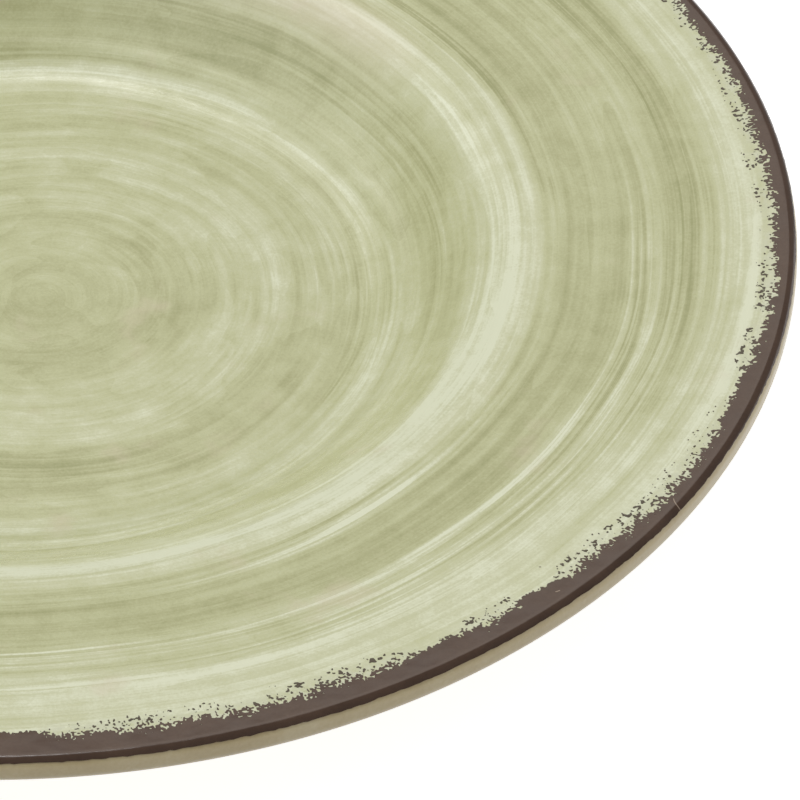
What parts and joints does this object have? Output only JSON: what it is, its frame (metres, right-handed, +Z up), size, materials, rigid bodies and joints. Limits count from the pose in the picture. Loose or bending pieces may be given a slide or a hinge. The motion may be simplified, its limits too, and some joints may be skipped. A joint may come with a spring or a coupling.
{
  "type": "dinner plate",
  "caption": "Round dinner plate with a wide, nearly level rim, a shallow flat well and a bare foot ring; brushed sage green face, brown edge band, beige back.",
  "frame": {"origin": "on the plate's axis, in the plane that the foot ring stands on", "axes": "+Z up along the plate's axis; X and Y are any two directions across the plate, which is round"},
  "size_m": [0.2794, 0.2794, 0.025],
  "materials": {
    "bare_clay": "unglazed fired stoneware, matt and slightly gritty",
    "beige_glaze": "opaque beige glaze, satin gloss",
    "sage_green_glaze": "opaque brushed sage green over cream, satin gloss, in rings",
    "brown_glaze": "opaque dark brown glaze, satin gloss, with a torn inner edge"
  },
  "bodies": {
    "root": {"clay_body": "bare_clay", "base_glaze": "beige_glaze", "foot_recess_glaze": "beige_glaze", "sage_brushwork": "sage_green_glaze", "brown_rim_band": "brown_glaze"}
  },
  "joints": []
}
